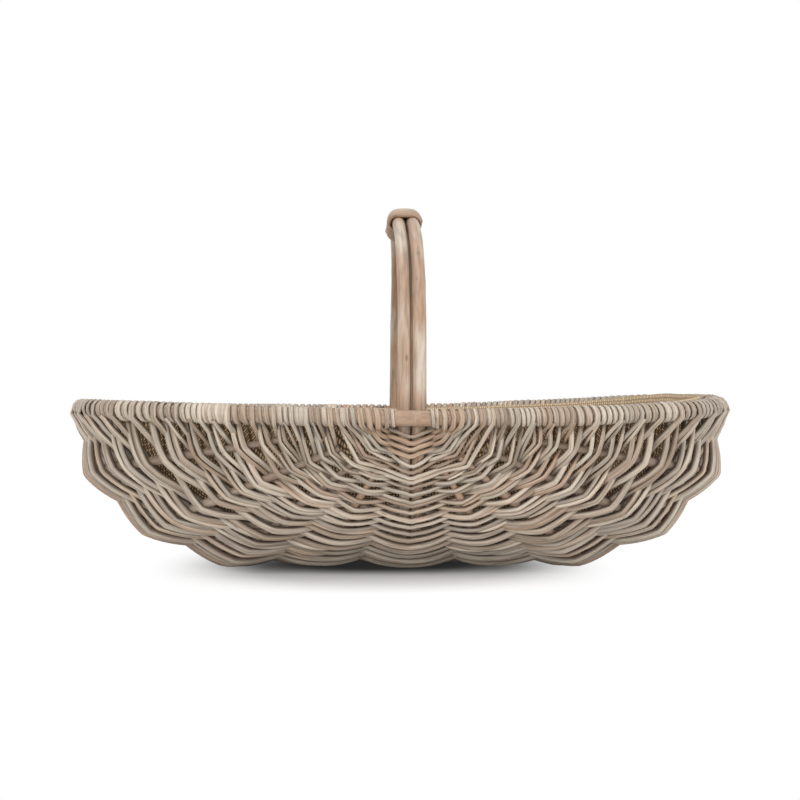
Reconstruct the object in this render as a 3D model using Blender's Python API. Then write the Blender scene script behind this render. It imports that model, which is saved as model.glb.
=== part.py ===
"""Garden trug: an oval willow frame basket with a double rod handle and a hessian liner."""
import math

import bmesh
import bpy
from mathutils import Vector

# Driving dimensions, in metres. X runs along the basket, Y across it, Z up from the floor.
BASKET_LENGTH = 0.650
BASKET_WIDTH = 0.450
RIM_HEIGHT = 0.148            # middle of the rim rod where the handle crosses it
LEFT_SHEER = 0.006            # how much higher the rim is at its left end
RIGHT_SHEER = 0.0105          # and at its right end
RIM_TWIST = 0.003             # rise of the rim's back right and front left corners
HANDLE_SHIFT = 0.006          # how far the handle stands to the right of the middle
HANDLE_RISE = 0.195           # middle of the handle rods over the middle of the rim rod
SEAT_GAP = 0.0003             # between pieces that touch

# Rods
RIM_ROD_RADIUS = 0.0080
HANDLE_ROD_RADIUS = 0.0075
KEEL_ROD_RADIUS = 0.0052      # the handle rods thin down to this under the basket
KEEL_TAPER_LENGTH = 0.060
RIB_RADIUS = 0.0045
RIB_TIP_RADIUS = 0.0025
RIB_TAPER_LENGTH = 0.060

# Weavers
WEAVER_THICKNESS = 0.0052
EAR_WEAVER_WIDTH = 0.0056
MIDDLE_WEAVER_WIDTH = 0.0076
ROW_SPACE = 0.0012            # free space between two rows
FIRST_ROW_DROP = 0.0155       # first row under the rim's middle, along the handle rods
WEAVERS_PER_HALF = 8
ROWS_PER_STATION = 3          # rods and ribs have one bend for this many rows

# Binding of the handle
BINDING_RADIUS = 0.0021
BINDING_TURNS = 20
BINDING_PITCH = 0.0051
BINDING_CLEARANCE = 0.0005
POINTS_PER_TURN = 24

# Liner
LINER_THICKNESS = 0.0014
LINER_EASE = 0.0005            # free space between the liner and the deepest weaver
HEM_HEIGHT = 0.0075
HEM_THICKNESS = 0.0030

# Shape of the basket: where the ribs cross the middle section, outermost rib first, as shares
# of the rim's half length and of the depth under the rim; and the squareness of its ovals.
left_rib_reach_shares = (0.966, 0.797, 0.552, 0.276)
right_rib_reach_shares = (0.981, 0.818, 0.552, 0.276)
rib_depth_shares = (0.392, 0.785, 1.003, 0.991)
oval_squareness = 2.7
sheer_power = 1.6             # the rim rises towards its ends with this power of the distance
weaver_room = 1.2             # a rib starts where its neighbours leave this much more than needed
rib_tip_share = 0.3           # of a row's pitch, by which a rib's tip stands past its first row
arch_steps = 40
curve_samples = 600
settling_rounds = 40
least_slant = 0.6             # sine of the sharpest angle at which a weaver folds along a rod
level_liner_share = 0.5       # above this share of the rim's height the liner is set in level

half_thickness = WEAVER_THICKNESS / 2
wrap_reach = RIM_ROD_RADIUS + SEAT_GAP + half_thickness
wrap_turn = math.radians(60)
sharp_edge = math.radians(100)
wrap_corner = wrap_reach / math.cos(wrap_turn / 2)
wrapped_rim_radius = wrap_corner + half_thickness
rim_half_length = BASKET_LENGTH / 2 - wrapped_rim_radius
rim_half_width = BASKET_WIDTH / 2 - wrapped_rim_radius
keel_half_width = rim_half_width - RIM_ROD_RADIUS - HANDLE_ROD_RADIUS - SEAT_GAP
keel_depth = RIM_HEIGHT - KEEL_ROD_RADIUS - SEAT_GAP - WEAVER_THICKNESS


class Rod:
    """A rod of the frame: its place in the middle section and its girth."""

    def __init__(self, name, reach, depth, half_width, first=0.0):
        self.name = name
        self.reach = reach
        self.depth = depth
        self.half_width = half_width
        self.first = first        # distance from the handle crossing at which it starts

    def radius(self, along):
        return RIM_ROD_RADIUS

    def drop(self, size):
        """How far the rod hangs under the rim's middle, where the middle section has this size."""
        return self.depth * size


class Rim(Rod):
    def drop(self, size):
        return self.depth * size ** sheer_power


class Rib(Rod):
    def radius(self, along):
        grown = min(1.0, max(0.0, (along - self.first) / RIB_TAPER_LENGTH))
        return RIB_TIP_RADIUS + (RIB_RADIUS - RIB_TIP_RADIUS) * grown


class KeelRod(Rod):
    def radius(self, along):
        thinned = min(1.0, along / KEEL_TAPER_LENGTH)
        return HANDLE_ROD_RADIUS + (KEEL_ROD_RADIUS - HANDLE_ROD_RADIUS) * thinned


def oval(angle):
    """Shares of the middle section's size, and of the half width, at one step round the oval."""
    power = 2 / oval_squareness
    return math.sin(angle) ** power, math.cos(angle) ** power


def measure_keel():
    """The length along the keel at each step from the handle crossing to the middle."""
    table = [(0.0, 0.0)]
    length = 0.0
    last = Vector((0.0, keel_half_width))
    for step in range(1, curve_samples + 1):
        angle = math.pi / 2 * step / curve_samples
        size, across = oval(min(angle, math.pi / 2))
        here = Vector((keel_depth * size, keel_half_width * max(across, 0.0)))
        length += (here - last).length
        table.append((length, angle))
        last = here
    return table


keel_table = measure_keel()
keel_length = keel_table[-1][0]


def exact_point(rod, along):
    """A rod's middle at a distance from the front crossing, measured along the keel."""
    low, high = 0, len(keel_table) - 1
    while high - low > 1:
        middle = (low + high) // 2
        if keel_table[middle][0] <= along:
            low = middle
        else:
            high = middle
    start, end = keel_table[low], keel_table[high]
    share = (along - start[0]) / (end[0] - start[0])
    size, across = oval(start[1] + (end[1] - start[1]) * share)
    reach = rod.reach * size
    if isinstance(rod, KeelRod):
        reach = math.copysign(rod.radius(along) + SEAT_GAP / 2, rod.reach)
    return Vector((reach, -rod.half_width * across, RIM_HEIGHT - rod.drop(size)))


def row_pitch(along):
    grown = along / keel_length
    return ROW_SPACE + EAR_WEAVER_WIDTH + (MIDDLE_WEAVER_WIDTH - EAR_WEAVER_WIDTH) * grown


def lay_rows():
    """Places of the rows from the front crossing to the middle, stretched to end half a row short."""
    places = [FIRST_ROW_DROP]
    while places[-1] + row_pitch(places[-1]) < keel_length - row_pitch(keel_length) / 2:
        places.append(places[-1] + row_pitch(places[-1]))
    if len(places) % 2:
        places.pop()
    last = keel_length - row_pitch(keel_length) / 2
    stretch = (last - FIRST_ROW_DROP) / (places[-1] - FIRST_ROW_DROP)
    return [FIRST_ROW_DROP + (place - FIRST_ROW_DROP) * stretch for place in places]


rows = lay_rows()
stations = [0.0] + rows[::ROWS_PER_STATION] + [keel_length]


def rod_point(rod, along):
    """The rod's middle on its straight runs between two stations."""
    index = 1
    while stations[index] < along and index < len(stations) - 1:
        index += 1
    start, end = stations[index - 1], stations[index]
    share = (along - start) / (end - start)
    return exact_point(rod, start).lerp(exact_point(rod, end), share)


def rod_direction(rod, along):
    step = FIRST_ROW_DROP / 4
    before = rod_point(rod, max(along - step, 0.0))
    return (rod_point(rod, min(along + step, keel_length)) - before).normalized()


def keel_place(size):
    """How far along the keel the middle section has shrunk to this size."""
    for length, angle in keel_table:
        if oval(min(angle, math.pi / 2))[0] >= size:
            return length
    return keel_length


def make_frame_rods():
    """The rods of the frame from the left rim to the right one, each knowing where it starts."""
    rims = [Rim("rim", -rim_half_length, -LEFT_SHEER, rim_half_width),
            Rim("rim", rim_half_length, -RIGHT_SHEER, rim_half_width)]
    keels = [KeelRod("keel", side, keel_depth, keel_half_width) for side in (-1, 1)]
    ribs = {}
    for side, label, reaches in ((-1, "left", left_rib_reach_shares),
                                 (1, "right", right_rib_reach_shares)):
        for number, (reach, depth) in enumerate(zip(reaches, rib_depth_shares), 1):
            name = f"rib_{label}_{number}"
            ribs[side, number] = Rib(
                name, side * reach * rim_half_length, depth * keel_depth, keel_half_width)
    # The third rib goes in first, then its neighbours, each where there is room beside it.
    for side in (-1, 1):
        rim = rims[0] if side < 0 else rims[1]
        keel = keels[0] if side < 0 else keels[1]
        rib = {number: ribs[side, number] for number in range(1, len(rib_depth_shares) + 1)}
        for number, beside in ((3, (rim, keel)), (2, (rim, rib[3])), (4, (rib[3], keel)),
                               (1, (rim, rib[2]))):
            start = max(rib_start(rib[number], other) for other in beside)
            rib[number].first = between_rows(start)
    left = [ribs[-1, number] for number in range(1, len(rib_depth_shares) + 1)]
    right = [ribs[1, number] for number in range(len(rib_depth_shares), 0, -1)]
    return [rims[0]] + left + keels + right + [rims[1]]


def rib_start(rib, other):
    """How far from the crossing a weaver has room between a rib and the rod beside it."""
    other_radius = RIB_RADIUS
    beside_keel = 0.0
    other_spoke = Vector((other.reach, other.depth))
    if isinstance(other, KeelRod):
        other_radius = HANDLE_ROD_RADIUS
        beside_keel = HANDLE_ROD_RADIUS
        other_spoke = Vector((0.0, other.depth))
    elif isinstance(other, Rim):
        other_radius = RIM_ROD_RADIUS
        other_spoke = Vector((other.reach, 0.0))
    need = weaver_room * (RIB_TIP_RADIUS + other_radius + WEAVER_THICKNESS + 2 * SEAT_GAP)
    # Both rods fan out from the crossing, so their free space is measured square to them.
    rib_spoke = Vector((rib.reach, rib.depth))
    square = abs(rib_spoke.cross(other_spoke)) / max(rib_spoke.length, other_spoke.length)
    return keel_place((need + beside_keel) / square)


def between_rows(place):
    """Where a rib can end, a little before the first row at or past a place."""
    index = 1
    while rows[index] < place:
        index += 1
    return rows[index] - (rows[index] - rows[index - 1]) * rib_tip_share


frame_rods = make_frame_rods()


def line_distance(start, end, middle, direction):
    """The least distance between the line from start to end and the line along a rod."""
    normal = (end - start).cross(direction)
    return abs(normal.normalized().dot(middle - start))


def bend_dip(rod, along, width):
    """How far a rod's bend rises between the two edges of a weaver laid across it."""
    reach = width / 2 + rod.radius(along)
    before = rod_point(rod, max(along - reach, 0.0))
    after = rod_point(rod, min(along + reach, keel_length))
    return ((before + after) / 2 - rod_point(rod, along)).length


def edge_dip(number, middles, directions, radius, width):
    """How far a weaver's edge dips beside a rod, as it twists to lie flat on the next one."""
    dip = 0.0
    for beside in (number - 1, number + 1):
        if 0 <= beside < len(middles):
            twist = directions[number].angle(directions[beside])
            reach = (middles[number] - middles[beside]).length
            dip = max(dip, width / 2 * twist * (radius + half_thickness) / reach)
    return dip


def rim_turn(rod, along, angle):
    """A point of a weaver round the rim: angle 0 is inside, a quarter turn is on top."""
    direction = rod_direction(rod, along)
    outward = direction.cross(Vector((0.0, 0.0, 1.0))).normalized()
    if outward.dot(Vector((rod.reach, rod_point(rod, along).y, 0.0))) < 0:
        outward.negate()
    spoke = -math.cos(angle) * outward + math.sin(angle) * Vector((0.0, 0.0, 1.0))
    return rod_point(rod, along) + spoke * wrap_corner, direction


def cross_row(index):
    """One row from the left rim to the right one, as points with the rod's direction there."""
    along = rows[index]
    crossed = [rod for rod in frame_rods if rod.first <= along]
    middles = [rod_point(rod, along) for rod in crossed]
    directions = [rod_direction(rod, along) for rod in crossed]
    width = row_pitch(along) - ROW_SPACE
    needs = [rod.radius(along) + half_thickness + SEAT_GAP + bend_dip(rod, along, width)
             + edge_dip(k, middles, directions, rod.radius(along), width)
             for k, rod in enumerate(crossed)]
    side = -1 if index % 2 == 0 else 1
    sides = []
    for number, rod in enumerate(crossed):
        if number and not (isinstance(rod, KeelRod) and isinstance(crossed[number - 1], KeelRod)):
            side = -side
        sides.append(side)
    normals = []
    half = len(crossed) // 2
    for number, middle in enumerate(middles):
        before = middles[max(number - 1, 0)]
        after = middles[min(number + 1, len(middles) - 1)]
        if isinstance(crossed[number], KeelRod):
            before, after = middles[half - 1], middles[half]
        normal = (after - before).cross(directions[number]).normalized()
        outward = Vector((middle.x, middle.y, middle.z - RIM_HEIGHT))
        normals.append(normal if normal.dot(outward) > 0 else -normal)
    offsets = list(needs)
    inner = range(1, len(crossed) - 1)
    ends = (0, len(crossed) - 1)
    rim_angle = 0.0 if sides[0] < 0 else math.pi
    points = [middles[k] + normals[k] * sides[k] * offsets[k] for k in range(len(crossed))]
    under = {}
    for k in ends:
        points[k], _ = rim_turn(crossed[k], along, rim_angle)
        neighbour = points[1] if k == 0 else points[-2]
        if line_distance(points[k], neighbour, middles[k], directions[k]) < needs[k]:
            below = rim_angle + wrap_turn if sides[k] > 0 else rim_angle - wrap_turn
            under[k], _ = rim_turn(crossed[k], along, below)
    for _ in range(settling_rounds):
        for k in inner:
            before = under.get(0, points[0]) if k == 1 else points[k - 1]
            after = points[k + 1]
            if k + 1 == ends[1]:
                after = under.get(ends[1], points[k + 1])
            near = min(line_distance(before, points[k], middles[k], directions[k]),
                       line_distance(points[k], after, middles[k], directions[k]))
            offsets[k] *= needs[k] / max(near, SEAT_GAP)
            points[k] = middles[k] + normals[k] * sides[k] * offsets[k]
    path = []
    for k, point in enumerate(points):
        if k == ends[1] and k in under:
            path.append((under[k], directions[k]))
        path.append((point, directions[k]))
        if k == 0 and k in under:
            path.append((under[k], directions[k]))
    deepest = max((offsets[k] for k in inner if sides[k] < 0), default=0.0)
    return path, deepest


row_paths = [cross_row(index) for index in range(len(rows))]
deepest_weaver = max(max(deepest for _, deepest in row_paths), wrap_corner) + half_thickness
liner_inset = deepest_weaver + LINER_EASE


def turn_round_rim(index, rod, shares=(1 / 3, 2 / 3)):
    """The points over the rim from the end of one row to the start of the next."""
    next_place = rows[min(index + 1, len(rows) - 1)]
    points = []
    for share in shares:
        along = rows[index] + (next_place - rows[index]) * share
        angle = math.pi * share if index % 2 == 0 else math.pi * (1 - share)
        points.append(rim_turn(rod, along, angle))
    return points


def weaver_path(first, last):
    """A weaver's points and widths, zigzag from rim to rim over its rows."""
    left_rim, right_rim = frame_rods[0], frame_rods[-1]
    path = []
    for index in range(first, last):
        width = row_pitch(rows[index]) - ROW_SPACE
        row = row_paths[index][0]
        if index % 2:
            row = row[::-1]
        path += [(point, direction, width) for point, direction in row]
        rim = right_rim if index % 2 == 0 else left_rim
        path += [(point, direction, width) for point, direction in turn_round_rim(index, rim)]
    return path


def leaned(point):
    """The basket as it grew in the hands: its handle off the middle, and its rim twisted."""
    along = max(-1.0, min(1.0, point.x / rim_half_length))
    across = max(-1.0, min(1.0, point.y / rim_half_width))
    shift = HANDLE_SHIFT * math.cos(math.pi / 2 * along) ** 2
    lift = RIM_TWIST * along * across * point.z / RIM_HEIGHT
    return Vector((point.x + shift, point.y, point.z + lift))


def make_material(name, colour, roughness):
    material = bpy.data.materials.new(name)
    material.use_nodes = True
    shader = material.node_tree.nodes["Principled BSDF"]
    shader.inputs["Base Color"].default_value = (*colour, 1.0)
    shader.inputs["Roughness"].default_value = roughness
    shader.inputs["Metallic"].default_value = 0.0
    return material


def add_object(name, data, material):
    data.materials.append(material)
    item = bpy.data.objects.new(name, data)
    bpy.context.scene.collection.objects.link(item)
    return item


def add_rod(name, points, radii, sides, material, closed=False):
    """A round rod along its points, as a bevelled curve."""
    curve = bpy.data.curves.new(name, "CURVE")
    curve.dimensions = "3D"
    curve.bevel_depth = 1.0
    curve.bevel_resolution = (sides - 4) // 2
    curve.render_resolution_u = 0
    curve.use_fill_caps = not closed
    spline = curve.splines.new("POLY")
    spline.points.add(len(points) - 1)
    for spot, point, radius in zip(spline.points, points, radii):
        spot.co = (*leaned(point), 1.0)
        spot.radius = radius
    spline.use_cyclic_u = closed
    spline.use_smooth = True
    return add_object(name, curve, material)


def add_loft(name, rings, material, closed=False):
    """A solid lofted through rings of four corners, capped at its ends unless it is closed."""
    solid = bmesh.new()
    loops = [[solid.verts.new(leaned(corner)) for corner in ring] for ring in rings]
    following = loops[1:] + loops[:1] if closed else loops[1:]
    for loop, after in zip(loops, following):
        for corner in range(len(loop)):
            beside = (corner + 1) % len(loop)
            solid.faces.new((loop[corner], loop[beside], after[beside], after[corner]))
    if not closed:
        solid.faces.new(loops[0][::-1])
        solid.faces.new(loops[-1])
    bmesh.ops.recalc_face_normals(solid, faces=solid.faces)
    mesh = bpy.data.meshes.new(name)
    solid.to_mesh(mesh)
    solid.free()
    mesh.shade_smooth()
    mesh.set_sharp_from_angle(angle=sharp_edge)
    return add_object(name, mesh, material)


def add_weaver(name, path, flip, material):
    """A weaver lofted along its path; its flat sides face the rods that it crosses."""
    rings = []
    for number, (point, across, width) in enumerate(path):
        before = path[max(number - 1, 0)][0]
        after = path[min(number + 1, len(path) - 1)][0]
        inward = (point - before).normalized() if number else Vector((0.0, 0.0, 0.0))
        outward = (after - point).normalized() if number < len(path) - 1 else Vector()
        tangent = (inward + outward).normalized()
        slant = tangent.cross(across)
        normal = slant.normalized()
        level = across / max(slant.length, least_slant)   # the fold lies along the rod
        ring = []
        for along, out in ((1, 1), (-1, 1), (-1, -1), (1, -1)):
            corner = point + level * (along * width / 2) + normal * (out * half_thickness)
            ring.append(Vector((corner.x, flip * corner.y, max(corner.z, 0.0))))
        rings.append(ring)
    return add_loft(name, rings, material)


def mirrored(points):
    """The points of the front half followed by those of the back half."""
    back = [Vector((point.x, -point.y, point.z)) for point in reversed(points)]
    return points + back[1:]


def make_rim(material):
    rods = (frame_rods[0], frame_rods[-1])
    left = mirrored([exact_point(rods[0], along) for along in stations])
    right = mirrored([exact_point(rods[1], along) for along in stations])
    points = left + right[-2:0:-1]
    add_rod("rim_hoop", points, [RIM_ROD_RADIUS] * len(points), 8, material, closed=True)


def arch_point(share, reach):
    angle = math.pi * share
    return Vector((reach, -keel_half_width * math.cos(angle),
                   RIM_HEIGHT + HANDLE_RISE * math.sin(angle)))


def make_handle_hoops(material):
    for rod, label in ((frame_rods[5], "left"), (frame_rods[6], "right")):
        keel = mirrored([exact_point(rod, along) for along in stations])
        girths = [rod.radius(along) for along in stations]
        girths += girths[-2::-1]
        reach = math.copysign(HANDLE_ROD_RADIUS + SEAT_GAP / 2, rod.reach)
        arch = [arch_point(step / arch_steps, reach) for step in range(arch_steps - 1, 0, -1)]
        points = keel + arch
        girths += [HANDLE_ROD_RADIUS] * len(arch)
        add_rod(f"handle_hoop_{label}", points, girths, 8, material, closed=True)


def make_ribs(material):
    for rod in frame_rods:
        if not isinstance(rod, Rib):
            continue
        places = [rod.first] + [place for place in stations if place > rod.first]
        points = mirrored([rod_point(rod, place) for place in places])
        girths = [rod.radius(place) for place in places]
        girths += girths[-2::-1]
        add_rod(rod.name, points, girths, 6, material)


def make_weavers(material):
    for flip, label in ((1, "front"), (-1, "back")):
        for number in range(WEAVERS_PER_HALF):
            first = number * len(rows) // WEAVERS_PER_HALF
            last = (number + 1) * len(rows) // WEAVERS_PER_HALF
            add_weaver(f"{label}_weaver_{number + 1:02d}", weaver_path(first, last), flip, material)


def winding_point(turns):
    """A point of the binding after so many turns, which starts under the handle."""
    reach = HANDLE_ROD_RADIUS + SEAT_GAP / 2
    radius = HANDLE_ROD_RADIUS + BINDING_CLEARANCE + BINDING_RADIUS
    lap = 4 * reach + 2 * math.pi * radius
    travelled = (turns % 1) * lap
    # Under the rods, round the right one, over both, round the left one, and back underneath.
    if travelled < reach:
        side, height = travelled, -radius
    elif travelled < reach + math.pi * radius:
        angle = (travelled - reach) / radius
        side, height = reach + radius * math.sin(angle), -radius * math.cos(angle)
    elif travelled < 3 * reach + math.pi * radius:
        side, height = 2 * reach + math.pi * radius - travelled, radius
    elif travelled < 3 * reach + 2 * math.pi * radius:
        angle = (travelled - 3 * reach - math.pi * radius) / radius
        side, height = -reach - radius * math.sin(angle), radius * math.cos(angle)
    else:
        side, height = travelled - lap, -radius
    angle = math.pi / 2 + (turns - BINDING_TURNS / 2) * BINDING_PITCH / HANDLE_RISE
    spoke = Vector((0.0, -math.cos(angle), math.sin(angle)))
    return arch_point(angle / math.pi, side) + spoke * height


def make_binding(material):
    count = BINDING_TURNS * POINTS_PER_TURN
    points = [winding_point(step / POINTS_PER_TURN) for step in range(count + 1)]
    gaps = [(points[step] - points[step + POINTS_PER_TURN]).length
            for step in range(count + 1 - POINTS_PER_TURN)]
    print(f"least gap between the binding's turns: {min(gaps) - 2 * BINDING_RADIUS:.5f} m")
    add_rod("handle_binding", points, [BINDING_RADIUS] * len(points), 6, material)


def liner_point(column, along, inset):
    """A point of the liner's outer face, set in from the rods by the weavers' thickness."""
    rod = frame_rods[column]
    middle = exact_point(rod, along)
    if isinstance(rod, KeelRod):
        middle.x = 0.0
    if along == 0.0:
        return Vector((0.0, inset - keel_half_width, RIM_HEIGHT))
    beside = liner_columns()
    place = beside.index(column)
    before = exact_point(frame_rods[beside[max(place - 1, 0)]], along)
    after = exact_point(frame_rods[beside[min(place + 1, len(beside) - 1)]], along)
    direction = rod_direction(rod, along)
    normal = (after - before).cross(direction).normalized()
    if place in (0, len(beside) - 1):
        normal = direction.cross(Vector((0.0, 0.0, 1.0))).normalized()
    if normal.dot(Vector((middle.x, middle.y, middle.z - RIM_HEIGHT))) < 0:
        normal.negate()
    normal.z *= min(1.0, (RIM_HEIGHT - middle.z) / (RIM_HEIGHT * level_liner_share))
    return middle - normal.normalized() * inset


def liner_columns():
    return [0, 1, 2, 3, 4, 5, 7, 8, 9, 10, 11]


def liner_face(inset):
    """One face of the liner, as lines of points from rim to rim, from the front to the back."""
    front = [[liner_point(column, along, inset) for column in liner_columns()]
             for along in stations]
    return front + [[Vector((point.x, -point.y, point.z)) for point in line]
                    for line in front[-2::-1]]


def make_liner(material):
    """The liner: a grid laid inside the weave from rim to rim, with a thin wall."""
    cloth = bmesh.new()
    sides = []
    for inset in (liner_inset, liner_inset + LINER_THICKNESS):
        lines = [[cloth.verts.new(leaned(point)) for point in line] for line in liner_face(inset)]
        for line, following in zip(lines, lines[1:]):
            for corner in range(len(line) - 1):
                cloth.faces.new((line[corner], line[corner + 1],
                                 following[corner + 1], following[corner]))
        sides.append(lines)
    outer, inner = sides
    for edge in (0, -1):
        for number in range(len(outer) - 1):
            cloth.faces.new((outer[number][edge], outer[number + 1][edge],
                             inner[number + 1][edge], inner[number][edge]))
    bmesh.ops.remove_doubles(cloth, verts=cloth.verts, dist=SEAT_GAP / 10)
    bmesh.ops.recalc_face_normals(cloth, faces=cloth.faces)
    mesh = bpy.data.meshes.new("hessian_liner")
    cloth.to_mesh(mesh)
    cloth.free()
    mesh.shade_smooth()
    mesh.set_sharp_from_angle(angle=sharp_edge)
    add_object("hessian_liner", mesh, material)


def make_hem(material):
    """The liner's upper edge, folded over and sewn: a flat band that stands on the liner."""
    left = mirrored([liner_point(0, along, liner_inset) for along in stations])
    right = mirrored([liner_point(len(frame_rods) - 1, along, liner_inset) for along in stations])
    edge = left + right[-2:0:-1]
    up = Vector((0.0, 0.0, 1.0))
    rings = []
    for number, point in enumerate(edge):
        after = edge[(number + 1) % len(edge)]
        run = after - edge[number - 1]
        inward = Vector((run.y, -run.x, 0.0)).normalized()
        ring = [point + inward * depth + up * height
                for depth, height in ((0.0, SEAT_GAP), (HEM_THICKNESS, SEAT_GAP),
                                      (HEM_THICKNESS, HEM_HEIGHT), (0.0, HEM_HEIGHT))]
        rings.append(ring)
    add_loft("liner_hem", rings, material, closed=True)


def main():
    for item in list(bpy.data.objects):
        bpy.data.objects.remove(item)
    willow = make_material("willow_rod", (0.36, 0.25, 0.16), 0.65)
    weaver = make_material("willow_weaver", (0.32, 0.26, 0.20), 0.75)
    skein = make_material("willow_skein", (0.40, 0.30, 0.20), 0.60)
    hessian = make_material("hessian", (0.30, 0.22, 0.13), 0.95)
    hem_cloth = make_material("hessian_hem", (0.62, 0.50, 0.30), 0.95)
    make_rim(willow)
    make_handle_hoops(willow)
    make_ribs(willow)
    make_weavers(weaver)
    make_binding(skein)
    make_liner(hessian)
    make_hem(hem_cloth)


main()
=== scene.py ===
"""Looks of a willow garden trug: woven bowl, double rod handle and hessian liner."""
import math
import random
from bisect import bisect_right
from collections import namedtuple

import bmesh
import bpy
from bpy.props import FloatProperty, FloatVectorProperty, IntProperty, PointerProperty
from mathutils import Matrix, Vector, noise


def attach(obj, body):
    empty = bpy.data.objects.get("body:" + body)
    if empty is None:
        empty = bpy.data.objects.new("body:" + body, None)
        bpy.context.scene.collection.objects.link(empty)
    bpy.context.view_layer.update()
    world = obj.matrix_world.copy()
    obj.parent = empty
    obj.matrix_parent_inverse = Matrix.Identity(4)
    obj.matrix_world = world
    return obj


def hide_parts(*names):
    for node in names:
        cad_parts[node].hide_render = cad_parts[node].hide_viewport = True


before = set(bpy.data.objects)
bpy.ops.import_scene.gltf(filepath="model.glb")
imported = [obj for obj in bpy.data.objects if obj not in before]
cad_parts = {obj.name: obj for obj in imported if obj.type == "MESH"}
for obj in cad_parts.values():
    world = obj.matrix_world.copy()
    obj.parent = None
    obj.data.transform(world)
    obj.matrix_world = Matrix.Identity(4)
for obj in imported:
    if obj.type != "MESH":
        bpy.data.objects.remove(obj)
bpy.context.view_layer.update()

bl_info = {
    "name": "Willow garden trug",
    "version": (1, 0, 0),
    "blender": (4, 5, 0),
    "location": "View3D > Sidebar > Trug",
    "description": "A woven willow trug with a double rod handle and a hessian liner",
    "category": "Add Mesh",
}

UP = Vector((0.0, 0.0, 1.0))
QUARTER = math.pi / 2
FULL_TURN = 2 * math.pi
# Where the ribs lie in the middle section, from the rim inwards, as shares of half the bowl's
# length and of its depth, and then how far along the keel each one begins.
LEFT_REACH = (0.966, 0.797, 0.552, 0.276)
RIGHT_REACH = (0.981, 0.818, 0.552, 0.276)
RIB_DEPTH = (0.392, 0.785, 1.003, 0.991)
RIB_START = (0.0508, 0.0356, 0.0356, 0.0508)
# How square the bowl's ovals are, and how late the rim rises toward its ends.
OVAL_SQUARENESS = 2.7
SHEER_POWER = 1.6
# Space between rods side by side, and what the weave adds outside the frame.
ROD_GAP = 0.0003
WEAVE_COVER = 0.0052
SIDE_COVER = 0.0075
# Weavers in each half, as in the solids.
WEAVER_NODES = 8
# Pairs of rows under the bare rim that are woven with thicker and fresher rods.
THICK_PAIRS = (1, 2, 3)
# How the rows fan out: shares of the keel, and of the rim and of each rib from the top one.
KEEL_SHARES = (0.0, 0.07, 0.11, 0.19, 0.26, 0.30, 0.375, 0.445, 0.50, 0.62, 0.80, 1.0)
FAN = ((0.0, 0.066, 0.101, 0.160, 0.240, 0.295, 0.430, 0.529, 0.605, 0.780, 0.910, 1.0),
       (0.0, 0.060, 0.100, 0.168, 0.250, 0.302, 0.420, 0.509, 0.570, 0.704, 0.860, 1.0),
       (0.0, 0.052, 0.092, 0.176, 0.260, 0.303, 0.410, 0.483, 0.545, 0.661, 0.830, 1.0),
       (0.0, 0.044, 0.087, 0.186, 0.262, 0.295, 0.385, 0.442, 0.502, 0.610, 0.800, 1.0),
       (0.0, 0.044, 0.086, 0.190, 0.268, 0.310, 0.385, 0.441, 0.490, 0.610, 0.800, 1.0))
# How far a rod stands off a rib and off the rim, as shares of both radii.
RIB_HOLD = 0.97
RIM_HOLD = 0.75
# A rod's points between two ribs: the length of a step, and the fewest and the most of them.
STEP_LENGTH = 0.0058
SPAN_STEPS = (4, 14)
KEEL_STEPS = 3
SMOOTHING = 0.12
# Turns on the rim: the room of one in diameters, its steps, and how much farther along the rim
# each row starts at least.
WRAP_ROOM = 1.20
WRAP_STEPS = 12
RIM_STEP = 0.0012
# Packed rods: how far they bow out, in radii, and their thickest share of the room.
PACKED_BOW = 0.8
PACKED_FILL = 0.30
# Where a rod is pressed flat: how much wider it grows and how much farther its painted shade
# reaches.
FLAT_SPREAD = 0.30
FLAT_SHADE = 0.45
# Half the length of the swelling at a knot.
KNOT_LENGTH = 0.006
# Tones of single rods: value, warmth and age.
RIM_TONE = (0.45, 0.78, 0.2)
HANDLE_TONE = (0.52, 0.74, 0.42)
THICK_TONE = ((0.55, 0.75), 0.78, 0.1)
# Each willow's colour, shares of wash and stain, roughness, crests between which the painted shade
# in crevices gives way, and how far its wash lies in wide patches, which on the frame's rods paint
# a sheen.
WILLOWS = {
    "woven_willow": ("weaver", 0.82, 0.55, 0.42, (-0.15, 0.62), 0.0),
    "frame_willow": ("rod", 0.63, 0.45, 0.34, (-0.99, -0.80), 1.0),
    # The ribs' darker colour is painted shade.
    "rib_willow": ("rib", 0.55, 0.40, 0.50, None, 0.0),
    "split_skein": ("skein", 0.78, 0.60, 0.34, None, 0.0),
}
# Fibre, streak and patch of the grain: scale across and along, detail and roughness.
GRAIN = ((2.2, 34.0, 4.0, 0.6), (0.9, 9.0, 3.0, 0.5), (0.35, 16.0, 2.0, 0.5))
# Ovals on the floor, half their length and width: the lit floor, the deep and the soft shadow.
LIT_OVAL = (0.235, 0.42)
DEEP_OVAL = (0.21, 0.13)
SOFT_OVAL = (0.24, 0.36)
DEEP_SHADE = (0.11, 0.11, 0.11)
SOFT_SHADE = (0.62, 0.62, 0.62)
# How strong the sky's light on the object is, where the camera sees it as white.
WORLD_STRENGTH = 0.42
# Each lamp's place, size and power; all look at the basket's middle.
LAMPS = (("top_softbox", (-0.3, -0.2, 1.7), (1.8, 1.4), 14.0),
         ("front_softbox", (-0.8, -1.9, 0.65), (1.4, 1.0), 19.0),
         ("right_softbox", (1.9, -0.9, 0.7), (1.2, 1.0), 18.0))


# Sizes and colours that a user would change
def metres(name, text, default):
    return FloatProperty(name=name, description=text, default=default, min=0.0,
                         subtype="DISTANCE", unit="LENGTH", precision=5)


def number(name, text, default, low, high):
    return FloatProperty(name=name, description=text, default=default, min=low, max=high)


def colour(name, text, default):
    return FloatVectorProperty(name=name, description=text, default=default, size=3,
                               min=0.0, max=1.0, subtype="COLOR")


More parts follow.
